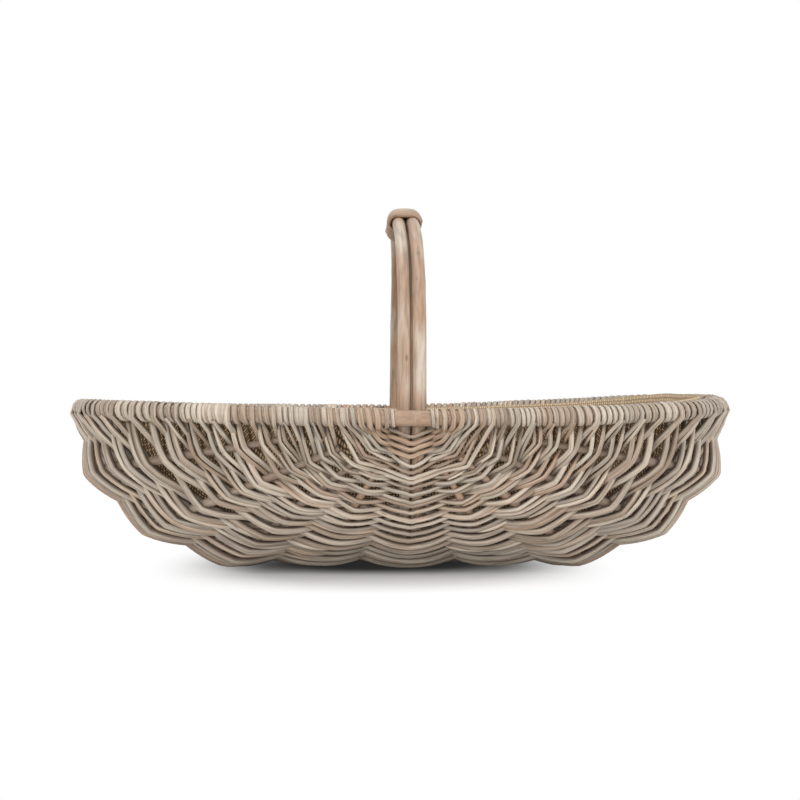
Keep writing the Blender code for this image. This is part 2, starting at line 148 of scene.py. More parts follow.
class TrugFrameSizes(bpy.types.PropertyGroup):
    """Sizes of the frame: rim, handle and ribs."""
    length: metres("Length", "Length over the wrapped rim", 0.650)
    width: metres("Width", "Width over the wrapped rim", 0.450)
    rim_height: metres("Rim height", "Middle of the rim rod at the handle", 0.1492)
    left_sheer: metres("Left sheer", "How much higher the rim is at its left end", 0.006)
    right_sheer: metres("Right sheer", "How much higher it is at its right end", 0.0105)
    rim_twist: metres("Rim twist", "Rise of the back right and front left corners", 0.003)
    handle_shift: metres("Handle shift", "How far the handle stands to the right", 0.006)
    handle_rise: metres("Handle rise", "Handle's crown over the rim", 0.1938)
    rim_radius: metres("Rim rod radius", "Radius of the rim rod", 0.0072)
    handle_radius: metres("Handle rod radius", "Radius of a handle rod", 0.0075)
    left_thinner: metres("Left thinner", "How much thinner the left rod has grown", 0.0013)
    right_thinner: metres("Right thinner", "How much thinner the right rod is", 0.0008)
    handle_sway: metres("Handle sway", "How far the rods sway sideways", 0.0022)
    keel_radius: metres("Keel rod radius", "Radius of a handle rod under the bowl", 0.0052)
    keel_taper: metres("Keel taper", "Length over which a handle rod thins down", 0.060)
    rib_radius: metres("Rib radius", "Radius of a rib", 0.0045)
    rib_tip: metres("Rib tip radius", "Radius at the end of a rib", 0.0025)
    rib_taper: metres("Rib taper", "Length over which a rib thins to its tip", 0.060)


class TrugWeaveSizes(bpy.types.PropertyGroup):
    """Sizes of the willow weave."""
    rows: IntProperty(name="Rows", description="Rows of weaving in each half", default=58, min=8)
    first_row: metres("First row", "First row under the rim, along the keel", 0.0118)
    ear_rod: metres("Ear rod", "Diameter of a weaving rod at the handle", 0.0037)
    pressed: number("Pressed", "Share of a rod's thickness left on the rim", 0.40, 0.1, 1.0)
    bow: number("Bow", "How far rods bow out between ribs, by their span", 0.028, 0.0, 0.2)
    keel_dip: metres("Keel dip", "How far a row dips between the two keel rods", 0.0030)
    thick_rod: metres("Thick rod", "Diameter of the thick rods under the bare rim", 0.0048)
    middle_rod: metres("Middle rod", "Diameter of a weaving rod in the middle", 0.0064)
    ear_pitch: metres("Ear pitch", "Row pitch beside the handle", 0.0028)
    middle_pitch: metres("Middle pitch", "Row pitch in the middle", 0.0064)
    pitch_start: metres("Pitch start", "Along the keel, where the rows grow wider", 0.050)
    pitch_end: metres("Pitch end", "Along the keel, where they are widest", 0.160)
    bare_rim: metres("Bare rim", "Half the bare stretch of the rim at the handle", 0.0158)
    ear_width: metres("Ear width", "From the middle to the corner beside the handle", 0.030)
    ear_length: metres("Ear length", "How far down that corner reaches", 0.027)
    ear_lift: metres("Ear lift", "How much higher a row is there than on the keel", 0.0075)
    kink: metres("Kink", "Length over which a strand bends round a rib", 0.0017)
    packed_place: number("Packed place", "Where it lies between the rows", 0.66, 0.0, 1.0)
    wander: metres("Wander", "How far a row strays where it crosses a rib", 0.0018)
    packing: number("Packing", "Room that takes one more rod, in radii", 3.0, 2.0, 10.0)
    packed_share: number("Packed", "Share of such gaps that are packed", 0.97, 0.0, 1.0)
    seed: IntProperty(name="Seed", description="Seed of the weave's unevenness", default=7)


class TrugBindingSizes(bpy.types.PropertyGroup):
    """Sizes of the skein round the handle's crown."""
    turns: IntProperty(name="Turns", description="Turns of the binding", default=20, min=4)
    pitch: metres("Pitch", "Pitch of the binding's turns", 0.0051)
    thickness: metres("Thickness", "Half the thickness of the skein", 0.0013)
    width: metres("Width", "Half the width of the skein", 0.00245)
    clearance: metres("Clearance", "Space between the skein and the rods", 0.0004)
    dome: metres("Dome", "How far the skein stands up between the rods", 0.0020)
    swell: number("Swell", "How much thicker the end turns are on top", 1.8, 0.0, 3.0)
    swollen_turns: number("Swollen turns", "Turns at each end that swell", 1.6, 0.1, 8.0)


class TrugLinerSizes(bpy.types.PropertyGroup):
    """Sizes of the hessian liner."""
    inset: metres("Inset", "From the rods' middle to the liner", 0.0162)
    thickness: metres("Thickness", "Thickness of the cloth", 0.0014)
    hem_height: metres("Hem height", "Height of the sewn hem", 0.0075)
    hem_sunk: metres("Hem sunk", "How far the hem laps over the cloth", 0.0030)
    hem_thickness: metres("Hem thickness", "Thickness of the sewn hem", 0.0030)
    yarn: metres("Yarn pitch", "Pitch of the hessian's yarns", 0.0030)


class TrugColours(bpy.types.PropertyGroup):
    """Colours of the willow and the cloth."""
    weaver: colour("Weaver", "Grey-brown of the weaving rods", (0.455, 0.335, 0.238))
    warm: colour("Warm", "Tan of the fresher rods", (0.500, 0.320, 0.205))
    # The wash is the willow's own grey weathering; on the frame's rods it also lies in wide patches
    # that paint a sheen.
    wash: colour("Wash", "Pale grey wash on the rods", (0.640, 0.570, 0.470))
    shade: colour("Shade", "Dark stain in the grain and at knots", (0.120, 0.085, 0.060))
    skein: colour("Skein", "Tan of the split skein", (0.500, 0.330, 0.215))
    # Painted shade between rods that lie together, with a little stain.
    crevice_shade: colour("Crevice", "Stain between rods that lie together", (0.175, 0.130, 0.098))
    rod: colour("Rod", "Handle and rim", (0.395, 0.255, 0.170))
    # Painted shade: the ribs' willow is a darker copy of the weavers', as they lie in the weave's
    # shade.
    rib: colour("Rib", "Ribs, which lie in the weave's shade", (0.260, 0.190, 0.140))
    hessian: colour("Hessian", "Yarn of the liner", (0.900, 0.600, 0.350))
    hem: colour("Hem", "Yarn of the hem", (0.800, 0.620, 0.420))
    floor: colour("Floor", "Floor and backdrop", (0.86, 0.86, 0.86))


# Shader maths
def arithmetic(operation, flipped=False):
    """An operator of Socket that adds a Math node."""
    def apply(self, other):
        return self.maths(operation, *((other, self) if flipped else (self, other)))
    return apply


class Socket:
    """Wraps a shader socket so that maths on it adds nodes."""

    def __init__(self, tree, output=None):
        self.tree = tree
        self.output = output

    def node(self, kind, settings=None, **inputs):
        """Adds any node: settings first, then values or links of its input sockets.

        An input is given by its name, or by its number as in i0."""
        added = self.tree.nodes.new(kind)
        for key, value in (settings or {}).items():
            setattr(added, key, value)
        for key, value in inputs.items():
            name = int(key[1:]) if key[1:].isdigit() else key.replace("_", " ")
            if isinstance(value, Socket):
                self.tree.links.new(value.output, added.inputs[name])
            else:
                added.inputs[name].default_value = value
        return added

    def made(self, kind, settings=None, output=0, **inputs):
        """Adds a node and wraps one of its outputs."""
        return Socket(self.tree, self.node(kind, settings, **inputs).outputs[output])

    def into(self, spot):
        self.tree.links.new(self.output, spot)

    def maths(self, operation, *values):
        given = {f"i{index}": value for index, value in enumerate(values)}
        return self.made("ShaderNodeMath", {"operation": operation}, **given)

    __add__ = __radd__ = arithmetic("ADD")
    __sub__ = arithmetic("SUBTRACT")
    __rsub__ = arithmetic("SUBTRACT", flipped=True)
    __mul__ = __rmul__ = arithmetic("MULTIPLY")
    __pow__ = arithmetic("POWER")

    def clamp(self):
        return self.maths("MINIMUM", self.maths("MAXIMUM", self, 0.0), 1.0)

    def step(self, low, high):
        """0 below low, 1 above high, smooth between."""
        return self.made("ShaderNodeMapRange", {"interpolation_type": "SMOOTHSTEP"},
                         Value=self, From_Min=low, From_Max=high)

    def stretch(self, *scale):
        return self.made("ShaderNodeVectorMath", {"operation": "MULTIPLY"}, i0=self, i1=scale)

    def shifted(self, other):
        return self.made("ShaderNodeVectorMath", {"operation": "ADD"}, i0=self, i1=other)

    def in_oval(self, half_length, half_width):
        """Distance from the middle, as a share of an oval's own reach."""
        return self.made("ShaderNodeVectorMath", {"operation": "LENGTH"}, "Value",
                         i0=self.stretch(1 / half_length, 1 / half_width, 0.0))

    def noise(self, scale, detail=3.0, roughness=0.55):
        return self.made("ShaderNodeTexNoise", {}, "Fac", Vector=self, Scale=scale,
                         Detail=detail, Roughness=roughness)

    def mix(self, low, high, blend="MIX"):
        """Mixes two colours by this value."""
        low, high = [value if isinstance(value, Socket) else (*value, 1.0)
                     for value in (low, high)]
        return self.made("ShaderNodeMix", {"data_type": "RGBA", "blend_type": blend}, 2,
                         i0=self, i6=low, i7=high)

    def parts(self):
        split = self.node("ShaderNodeSeparateXYZ", {}, Vector=self)
        return [Socket(self.tree, output) for output in split.outputs]

    def attribute(self, name, output="Vector"):
        return self.made("ShaderNodeAttribute", {"attribute_name": name}, output)

    def seen_rays(self):
        """1 for rays that show the backdrop, 0 for the light that it gives."""
        path = self.node("ShaderNodeLightPath")
        camera, glossy, through = [Socket(self.tree, path.outputs[f"Is {kind} Ray"])
                                   for kind in ("Camera", "Glossy", "Transmission")]
        return (camera + glossy + through).clamp()


def new_material(name):
    """A material with its Principled shader and a socket to start from."""
    made = bpy.data.materials.new(name)
    made.use_nodes = True
    return made, made.node_tree.nodes["Principled BSDF"], Socket(made.node_tree)


def bump(start, height, strength, distance, shader):
    """Lets a height in the material show as relief."""
    start.made("ShaderNodeBump", {}, Strength=strength, Distance=distance,
               Height=height).into(shader.inputs["Normal"])


def willow_material(name, colours, base, wash_share, stain_share, roughness, crevice_shade, broad_sheen):
    """Dry willow: long grain, pale wash on some stretches, stain in the grain, small knots.

    For crevices two crests are given: below the first, painted shade with a little stain darkens
    the sides of a rod that face what it lies against, and above the second there is none. The sheen
    share says how far the wash lies in long smooth patches and not along the grain; on the frame's
    rods these patches are a painted sheen."""
    made, shader, start = new_material(name)
    tone = start.attribute("tone")
    value, warmth, age = tone.parts()
    # Each rod's own tone moves the pattern, so that no two rods show the same grain.
    place = start.attribute("grain").shifted(tone.stretch(37.0, 53.0, 71.0))
    fibre, streak, patch = [place.stretch(across, across, along).noise(1.0, detail, rough)
                            for across, along, detail, rough in GRAIN]
    colour = warmth.step(0.55, 0.95).mix(tuple(getattr(colours, base)), tuple(colours.warm))
    # On the frame's rods the wash gathers in wide smooth patches, a painted sheen; on the others it
    # follows the grain.
    spread = streak * (1.0 - broad_sheen * 0.6) + patch * (0.6 + broad_sheen * 0.9)
    wash_and_sheen = ((spread + age * 0.45) * wash_share).step(0.62, 0.95)
    colour = (wash_and_sheen * 0.75).mix(colour, tuple(colours.wash))
    stained = (fibre + streak * 0.35).step(0.78, 0.50) * stain_share
    colour = stained.mix(colour, tuple(colours.shade))
    cells = start.node("ShaderNodeTexVoronoi", {}, Vector=place.stretch(0.6, 0.6, 38.0),
                       Scale=1.0)
    chance = Socket(start.tree, cells.outputs["Color"]).parts()[0].step(0.80, 0.83)
    knot = Socket(start.tree, cells.outputs["Distance"]).step(0.17, 0.06) * chance
    colour = (knot * 0.75).mix(colour, tuple(colours.shade))
    # Painted shade: the sides of a rod that face its neighbours, and its pressed flats, turn toward
    # the colour given for crevices, with a little stain.
    if crevice_shade:
        unshaded = (start.attribute("crest", "Fac") + (streak - 0.5) * 0.5).step(*crevice_shade)
        colour = unshaded.mix(tuple(colours.crevice_shade), colour)
    bright = value.mix((0.70, 0.70, 0.70), (1.16, 1.16, 1.16))
    whole = start.made("ShaderNodeValue")
    whole.output.default_value = 1.0
    whole.mix(colour, bright, "MULTIPLY").into(shader.inputs["Base Color"])
    (roughness + fibre * 0.25 - wash_and_sheen * 0.08).clamp().into(shader.inputs["Roughness"])
    bump(start, fibre * 0.6 + streak * 0.6 - knot * 0.5, 0.35, 0.0006, shader)


def hessian_material(name, yarn_colour, pitch, gap_shade_share):
    """Loose plain weave of jute yarns, from the piece's own flat measure in metres."""
    _, shader, start = new_material(name)
    flat = start.attribute("flat")
    wobble = flat.noise(90.0, 2.0)
    across, along, _ = flat.parts()
    turn = math.pi / pitch
    first, second = [(part * turn).maths("SINE", part * turn)
                     for part in (across + wobble * 0.0011, along + wobble * 0.0009)]
    # Over and under: the product's sign says which yarn lies on top at a crossing.
    over = (first * second).step(-0.25, 0.25)
    height = (first.maths("ABSOLUTE", first) * second.maths("ABSOLUTE", second)) ** 0.7
    fuzz = flat.noise(900.0, 3.0, 0.7)
    slub = flat.stretch(1.0, 5.0, 1.0).noise(60.0, 2.0)
    # Painted light and shade on the yarns: the middle of each crossing is brightest, the yarn that
    # lies under is darker, and the gaps between yarns are shaded toward a darker copy of the yarn
    # colour.
    tone = (height * (0.75 + fuzz * 0.4) * (0.75 + over * 0.25)).clamp()
    gap_shade = tuple(part * gap_shade_share for part in yarn_colour)
    pale = tuple(min(1.0, part * 1.35) for part in yarn_colour)
    colour = tone.step(0.35, 0.85).mix(gap_shade, tuple(yarn_colour))
    colour = (slub.step(0.5, 0.9) * 0.3).mix(colour, pale)
    colour.into(shader.inputs["Base Color"])
    # Painted glow: the yarn's colour is also given off as light, so that the cloth shows brighter
    # where it lies in the weave's shade.
    colour.into(shader.inputs["Emission Color"])
    for key, value in (("Emission Strength", 0.10), ("Roughness", 0.95),
                       ("Specular IOR Level", 0.15)):
        shader.inputs[key].default_value = value
    bump(start, height + fuzz * 0.3, 0.5, 0.0007, shader)


# Measures
def clamped(value):
    return max(0.0, min(1.0, value))


def uneven(x, y=0.0, z=0.0):
    """Smooth unevenness between about -1 and 1."""
    return noise.noise(Vector((x, y, z)))


def measured(line, end, steps):
    """Pairs of the length so far and the value, along the line that runs from 0 to end."""
    table = [(0.0, 0.0)]
    last = line(0.0)
    for step in range(1, steps + 1):
        value = end * step / steps
        here = line(value)
        table.append((table[-1][0] + (here - last).length, value))
        last = here
    return table


def looked_up(table, value):
    """Reads a table of rising pairs between its rows."""
    low = max(0, min(bisect_right(table, (value, math.inf)) - 1, len(table) - 2))
    start, end = table[low], table[low + 1]
    share = (value - start[0]) / (end[0] - start[0])
    return start[1] + (end[1] - start[1]) * share


# Shape of the basket
# A rod of the frame: its place in the middle section, half its span and where it starts.
Rod = namedtuple("Rod", "kind reach depth half_width start", defaults=(0.0,))


class Basket:
    """The bowl's lines. A place runs along the keel from the front crossing to the back one."""

    def __init__(self, sizes):
        self.sizes = sizes
        self.half_length = sizes.length / 2 - sizes.rim_radius - WEAVE_COVER
        self.half_width = sizes.width / 2 - sizes.rim_radius - SIDE_COVER
        self.keel_half_width = (self.half_width - sizes.rim_radius - sizes.handle_radius
                                - ROD_GAP)
        self.depth = sizes.rim_height - sizes.keel_radius - ROD_GAP - WEAVE_COVER
        self.table = measured(self.keel_point, QUARTER, 600)
        self.quarter = self.table[-1][0]
        self.whole = 2 * self.quarter
        left = self.side_rods(-1, LEFT_REACH, sizes.left_sheer)
        right = self.side_rods(1, RIGHT_REACH, sizes.right_sheer)
        self.rods = left + right[::-1]
        self.last = len(self.rods) - 1

    def oval(self, angle):
        power = 2 / OVAL_SQUARENESS
        return max(math.sin(angle), 0.0) ** power, max(math.cos(angle), 0.0) ** power

    def keel_point(self, angle):
        size, across = self.oval(angle)
        return Vector((self.depth * size, self.keel_half_width * across))

    def side_rods(self, side, reaches, sheer):
        """The rods of one side, from the rim to the keel."""
        ribs = [Rod("rib", side * reach * self.half_length, depth * self.depth,
                    self.keel_half_width, start)
                for reach, depth, start in zip(reaches, RIB_DEPTH, RIB_START)]
        return [Rod("rim", side * self.half_length, -sheer, self.half_width), *ribs,
                Rod("keel", side, self.depth, self.keel_half_width)]

    def radius(self, rod, place):
        sizes = self.sizes
        place = min(place, self.whole - place)
        if rod.kind == "rim":
            return sizes.rim_radius
        if rod.kind == "keel":
            thinned = clamped(place / sizes.keel_taper)
            return sizes.handle_radius + (sizes.keel_radius - sizes.handle_radius) * thinned
        grown = clamped((place - rod.start) / sizes.rib_taper)
        return sizes.rib_tip + (sizes.rib_radius - sizes.rib_tip) * grown

    def middle(self, rod, place):
        """A rod's middle, before the basket's own lean."""
        back = place > self.quarter
        near = max(self.whole - place if back else place, 0.0)
        size, across = self.oval(looked_up(self.table, near))
        reach = rod.reach * size
        if rod.kind == "keel":
            reach = math.copysign(self.radius(rod, near) + ROD_GAP / 2, rod.reach)
        elif rod.kind == "ear":
            reach = rod.reach
        drop = rod.depth * (size ** SHEER_POWER if rod.kind == "rim" else size)
        return Vector((reach, (1 if back else -1) * rod.half_width * across,
                       self.sizes.rim_height - drop))

    def arch_point(self, side, angle):
        """A point over the bowl on the handle's arch, from the front rim to the back one."""
        return Vector((side, -self.keel_half_width * math.cos(angle),
                       self.sizes.rim_height + self.sizes.handle_rise * math.sin(angle)))

    def direction(self, rod, place):
        step = 0.0025
        before = self.middle(rod, max(place - step, 0.0))
        return (self.middle(rod, min(place + step, self.whole)) - before).normalized()

    def lean(self, point):
        """The basket as it grew in the hands: handle off the middle, rim a little twisted."""
        sizes = self.sizes
        u = max(-1.0, min(1.0, point.x / self.half_length))
        v = max(-1.0, min(1.0, point.y / self.half_width))
        return Vector((point.x + sizes.handle_shift * math.cos(QUARTER * u) ** 2, point.y,
                       point.z + sizes.rim_twist * u * v * point.z / sizes.rim_height))


# Rods as meshes
def carried_frames(points, closed=False):
    """A turning frame at each point, carried along without twist."""
    count = len(points)
    tangents = []
    for index in range(count):
        before = points[index - 1] if index or closed else points[0]
        after = points[(index + 1) % count] if index < count - 1 or closed else points[-1]
        tangents.append((after - before).normalized())
    side = tangents[0].orthogonal().normalized()
    frames = []
    last = tangents[0]
    for tangent in tangents:
        side = (last.rotation_difference(tangent) @ side).normalized()
        side = (side - tangent * side.dot(tangent)).normalized()
        frames.append((side, tangent.cross(side), tangent))
        last = tangent
    return frames


def placed(point, turned, radius, wide):
    """The matrix that sets a ring at a point, turned and scaled."""
    side, other, tangent = turned
    side = side * wide
    rows = [(side[n] * radius, other[n] * radius, tangent[n] * radius, point[n])
            for n in range(3)]
    return Matrix((*rows, (0.0, 0.0, 0.0, 1.0)))


def drawn_on(shell, edges):
    """Extrudes a ring once more, and gives the new ring's points and edges."""
    drawn = bmesh.ops.extrude_edge_only(shell, edges=edges)["geom"]
    return [[item for item in drawn if isinstance(item, kind)]
            for kind in (bmesh.types.BMVert, bmesh.types.BMEdge)]


def rod_shell(points, radii, sides, tone, closed=False, begin=0.0, frames=None, wide=1.0,
              outs=None, flats=None):
    """One rod as its own bmesh: a ring drawn out along the points and capped.

    Frames turn each ring, wide is its width over its thickness, and outs point away from what the
    rod lies against, so that its crest and the sides on which shade is painted can be told.
    Flats are the shares of its thickness that are left where it is pressed flat."""
    shell = bmesh.new()
    grain = shell.verts.layers.float_vector.new("grain")
    tint = shell.verts.layers.float_vector.new("tone")
    crest = shell.verts.layers.float.new("crest")
    frames = frames or carried_frames(points, closed)
    placing = placed(points[0], frames[0], radii[0], wide)
    ring = bmesh.ops.create_circle(shell, segments=sides, radius=1.0, matrix=placing)["verts"]
    inverse = placing.inverted()
    for vert in ring:
        local = inverse @ vert.co
        vert[grain] = Vector((local.x, local.y, begin))
        vert[tint] = tone
    rings = [ring]
    first_edges = list(shell.edges)
    edges = first_edges
    run = begin
    for index in range(1, len(points)):
        following = placed(points[index], frames[index], radii[index], wide)
        run += (points[index] - points[index - 1]).length
        verts, edges = drawn_on(shell, edges)
        bmesh.ops.transform(shell, matrix=following @ placing.inverted(), verts=verts)
        for vert in verts:
            vert[grain] = Vector((vert[grain][0], vert[grain][1], run))
        rings.append(verts)
        placing = following
    # A point's crest is how far it faces away from what the rod lies against; the willow paints
    # shade on the low ones.
    for verts, point, out in zip(rings, points, outs or []):
        for vert in verts:
            vert[crest] = (vert.co - point).normalized().dot(out)
    # A rod pressed flat spreads wider, and its painted shade reaches farther up its sides.
    for verts, point, out, flat in zip(rings, points, outs or [], flats or []):
        for vert in verts:
            height = (vert.co - point).dot(out)
            spread = (vert.co - point - out * height) * (1 + (1 - flat) * FLAT_SPREAD)
            vert.co = point + spread + out * height * flat
            vert[crest] -= (1 - flat) * FLAT_SHADE
    if closed:
        bmesh.ops.bridge_loops(shell, edges=first_edges + edges)
    else:
        for loop in (first_edges, edges):
            bmesh.ops.edgeloop_fill(shell, edges=loop)
    bmesh.ops.recalc_face_normals(shell, faces=shell.faces)
    return shell


def joined(shells):
    """Several bmeshes as one."""
    whole = bmesh.new()
    holder = bpy.data.meshes.new("holder")
    for shell in shells:
        shell.to_mesh(holder)
        whole.from_mesh(holder)
        shell.free()
    bpy.data.meshes.remove(holder)
    return whole


def mesh_object(name, shell, material):
    mesh = bpy.data.meshes.new(name)
    shell.to_mesh(mesh)
    shell.free()
    mesh.materials.append(bpy.data.materials[material])
    piece = bpy.data.objects.new(name, mesh)
    bpy.context.scene.collection.objects.link(piece)
    return piece


def finish_piece(name, shell, material, node, basket, sharp=55.0):
    """Makes the object, sets it in the frame and hides the part that it stands for."""
    for vert in shell.verts:
        vert.co = basket.lean(vert.co)
    piece = mesh_object(name, shell, material)
    piece.data.shade_smooth()
    piece.data.set_sharp_from_angle(angle=math.radians(sharp))
    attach(piece, "root")
    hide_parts(node)
    return piece


def random_tone(draw, low=0.0):
    return Vector((draw.uniform(low, 1.0), draw.random(), draw.random()))


def nodes_on(radii, points, spacing, swell, draw):
    """Swells a rod a little at its knots, which come at uneven distances."""
    run = 0.0
    next_knot = draw.uniform(0.3, 1.0) * spacing
    knots = []
    places = [0.0]
    for before, after in zip(points, points[1:]):
        run += (after - before).length
        places.append(run)
        if run > next_knot:
            knots.append(run)
            next_knot = run + draw.uniform(0.6, 1.5) * spacing
    result = []
    for place, radius in zip(places, radii):
        near = min((abs(place - knot) for knot in knots), default=1.0)
        result.append(radius * (1 + swell * math.exp(-(near / KNOT_LENGTH) ** 2)))
    return result


def round_hoop(line, ends, whole, count):
    """Points of a hoop: along its left side to the back, and along its right side again."""
    return ([line(ends[0], whole * step / count) for step in range(count + 1)]
            + [line(ends[1], whole * step / count) for step in range(count - 1, 0, -1)])


# The weave
class Weave:
    """Lays the rows of one half of the bowl."""

    def __init__(self, basket, sizes, back):
        self.basket = basket
        self.sizes = sizes
        self.back = back
        self.draw = random.Random(sizes.seed + (100 if back else 0))
        self.rows = self.lay_rows()
        self.tables = [measured(lambda near: self.middle(rod, near), basket.quarter, 300)
                       for rod in basket.rods]
        self.fans = [tuple(zip(KEEL_SHARES, fan)) for fan in FAN]
        ears = [Rod("ear", side * sizes.ear_width, basket.depth, basket.keel_half_width)
                for side in (-1, 1)]
        self.spokes = basket.rods[:5] + ears[:1] + basket.rods[5:7] + ears[1:] + basket.rods[7:]
        self.inner_left = basket.rods[3:5]
        self.inner_ribs = basket.rods[3:5] + basket.rods[7:9]

    def grown(self, near, start):
        """How far the rods and rows have grown wider at a place."""
        return clamped((near - start) / (self.sizes.pitch_end - start))

    def lay_rows(self):
        """The rows' places along the keel, farther apart toward the middle."""
        sizes = self.sizes
        end = self.basket.quarter - sizes.middle_pitch / 2
        places = [sizes.first_row]
        for _ in range(1, sizes.rows):
            wider = (sizes.middle_pitch - sizes.ear_pitch) * self.grown(places[-1],
                                                                        sizes.pitch_start)
            places.append(places[-1] + sizes.ear_pitch + wider)
        scale = (end - sizes.first_row) / (places[-1] - sizes.first_row)
        return [sizes.first_row + (place - sizes.first_row) * scale for place in places]

    def place(self, near):
        return self.basket.whole - near if self.back else near

    def middle(self, rod, near):
        return self.basket.middle(rod, self.place(near))

    def direction(self, rod, near):
        return self.basket.direction(rod, self.place(near))

    def rod_radius(self, near):
        sizes = self.sizes
        thicker = (sizes.middle_rod - sizes.ear_rod) * self.grown(near, sizes.pitch_start * 0.5)
        return (sizes.ear_rod + thicker) / 2

    def spoke(self, rod, near, angle, reach):
        """A point round the rim: angle 0 is inside, a quarter turn is on top."""
        middle = self.middle(rod, near)
        outward = self.direction(rod, near).cross(UP).normalized()
        if outward.dot(Vector((rod.reach, middle.y * 2, 0.0))) < 0:
            outward.negate()
        return middle + (outward * -math.cos(angle) + UP * math.sin(angle)) * reach

    def near_at(self, rod, arc):
        """The place at a length along a rod."""
        return max(0.0005, looked_up(self.tables[self.basket.rods.index(rod)], arc))

    def fanned(self, number, near):
        """Length along a rod at which a row crosses it, from the row's place on the keel."""
        return self.tables[number][-1][0] * looked_up(self.fans[number],
                                                      near / self.basket.quarter)

    def rod_near(self, rod, index):
        """Where a row crosses a rod."""
        if rod.kind == "keel":
            return self.rows[index]
        if rod.kind == "ear":
            return max(self.rows[index] - self.sizes.ear_lift, 0.001)
        number = self.basket.rods.index(rod)
        number = min(number, self.basket.last - number)
        return self.near_at(rod, self.fanned(number, self.rows[index]))

    def crossings(self, index):
        """The rods that a row bends over, where it crosses them and on which side."""
        nears = [(rod, self.rod_near(rod, index)) for rod in self.spokes]
        inner = [near for rod, near in nears if rod in self.inner_left]
        # Beside the handle, where no rib has begun, the weave bends over a wrapped corner.
        cornered = max(inner) < self.sizes.ear_length
        side = -1 if index % 2 == 0 else 1
        found = []
        for rod, near in nears:
            # Beyond a rib's tip the row still bends at the inner ribs.
            bends = rod.start <= near or (not cornered and rod in self.inner_ribs)
            if not (cornered if rod.kind == "ear" else bends):
                continue
            if found and not found[-1][0].kind == rod.kind == "keel":
                side = -side
            found.append((rod, near, side))
        return found

    def cross(self, index, radius, ends=None, side_rods=None):
        """One row's points from the left rim to the right one, and what lies outward of each.

        With side_rods it is a rod packed between this row and the next over those rods alone."""
        basket = self.basket
        sizes = self.sizes
        found = self.crossings(index)
        if side_rods:
            share = sizes.packed_place
            found = [(rod, near * (1 - share) + self.rod_near(rod, index + 1) * share, side)
                     for rod, near, side in found if rod in side_rods]
        crossed, nears, sides = zip(*found)
        last = len(crossed) - 1
        places = [near + uneven(k * 1.7, index * 0.9, 3.0 + self.back) * sizes.wander
                  for k, near in enumerate(nears)]
        if ends:
            places[0], places[-1] = ends
        places = [min(place, basket.quarter - radius * 0.5) for place in places]
        middles = [self.middle(rod, place) for rod, place in zip(crossed, places)]
        directions = [self.direction(rod, place) for rod, place in zip(crossed, places)]
        needs = [radius * RIB_HOLD + (basket.radius(rod, place) if rod.start <= place else 0.0)
                 for rod, place in zip(crossed, places)]
        normals = []
        for k, middle in enumerate(middles):
            along = middles[min(k + 1, last)] - middles[max(k - 1, 0)]
            normal = along.cross(directions[k]).normalized()
            outward = middle - UP * basket.sizes.rim_height
            normals.append(normal if normal.dot(outward) > 0 else -normal)
        rim_side = sides[0] if crossed[0].kind == "rim" else sides[last]
        angle = 0.0 if rim_side < 0 else math.pi
        depths = [-need * math.cos(angle) * RIM_HOLD if rod.kind == "rim" else need * side
                  for rod, need, side in zip(crossed, needs, sides)]
        path = []
        for k in range(last):
            span = (middles[k + 1] - middles[k]).length
            pair = crossed[k].kind == crossed[k + 1].kind == "keel"
            fewest, most = SPAN_STEPS
            steps = KEEL_STEPS if pair else max(fewest, min(most, round(span / STEP_LENGTH)))
            bend = min(0.3 / steps, sizes.kink / span)
            shares = [step / steps for step in range(steps)]
            if not pair:
                shares = [0.0, bend] + shares[1:] + [1 - bend]
            kept = places[k] / basket.quarter
            dip = sizes.keel_dip * (1 - kept) * (-1 if self.back else 1) if pair else 0.0
            for share in shares:
                swing = (1 - math.cos(math.pi * share)) / 2
                hump = math.sin(math.pi * share)
                depth = depths[k] + (depths[k + 1] - depths[k]) * swing
                if side_rods:
                    depth += radius * PACKED_BOW * hump
                depth += 4 * sizes.bow * span * kept ** 2 * share * (1 - share)
                normal = normals[k].lerp(normals[k + 1], share).normalized()
                base = middles[k].lerp(middles[k + 1], share) + directions[k] * (dip * hump)
                path.append((base + normal * depth, normal))
        on_rim = basket.sizes.rim_radius + radius * sizes.pressed
        rim_ends = [(self.spoke(crossed[k], places[k], angle, on_rim), normals[k])
                    for k in (0, last)]
        if crossed[0].kind == "rim":
            path[0] = rim_ends[0]
        if crossed[last].kind == "rim":
            path.append(rim_ends[1])
        points = [point for point, _ in path]
        points[1:-1] = [before * SMOOTHING + here * (1 - 2 * SMOOTHING) + after * SMOOTHING
                        for before, here, after in zip(points, points[1:], points[2:])]
        flats = [1.0] * len(points)
        for n in range(4):
            flats[n] = flats[-1 - n] = sizes.pressed + (1 - sizes.pressed) * n / 4
        # No point may lie inside a rod that the row bends over, or under the floor.
        for middle, direction, need in zip(middles, directions, needs):
            for n in range(1, len(points) - 1):
                reach = points[n] - middle
                out = reach - direction * reach.dot(direction)
                if reach.length < need * 3 and 0 < out.length < need:
                    points[n] = points[n] + out.normalized() * (need - out.length)
        for point in points:
            point.z = max(point.z, radius)
        return points, [normal for _, normal in path], flats

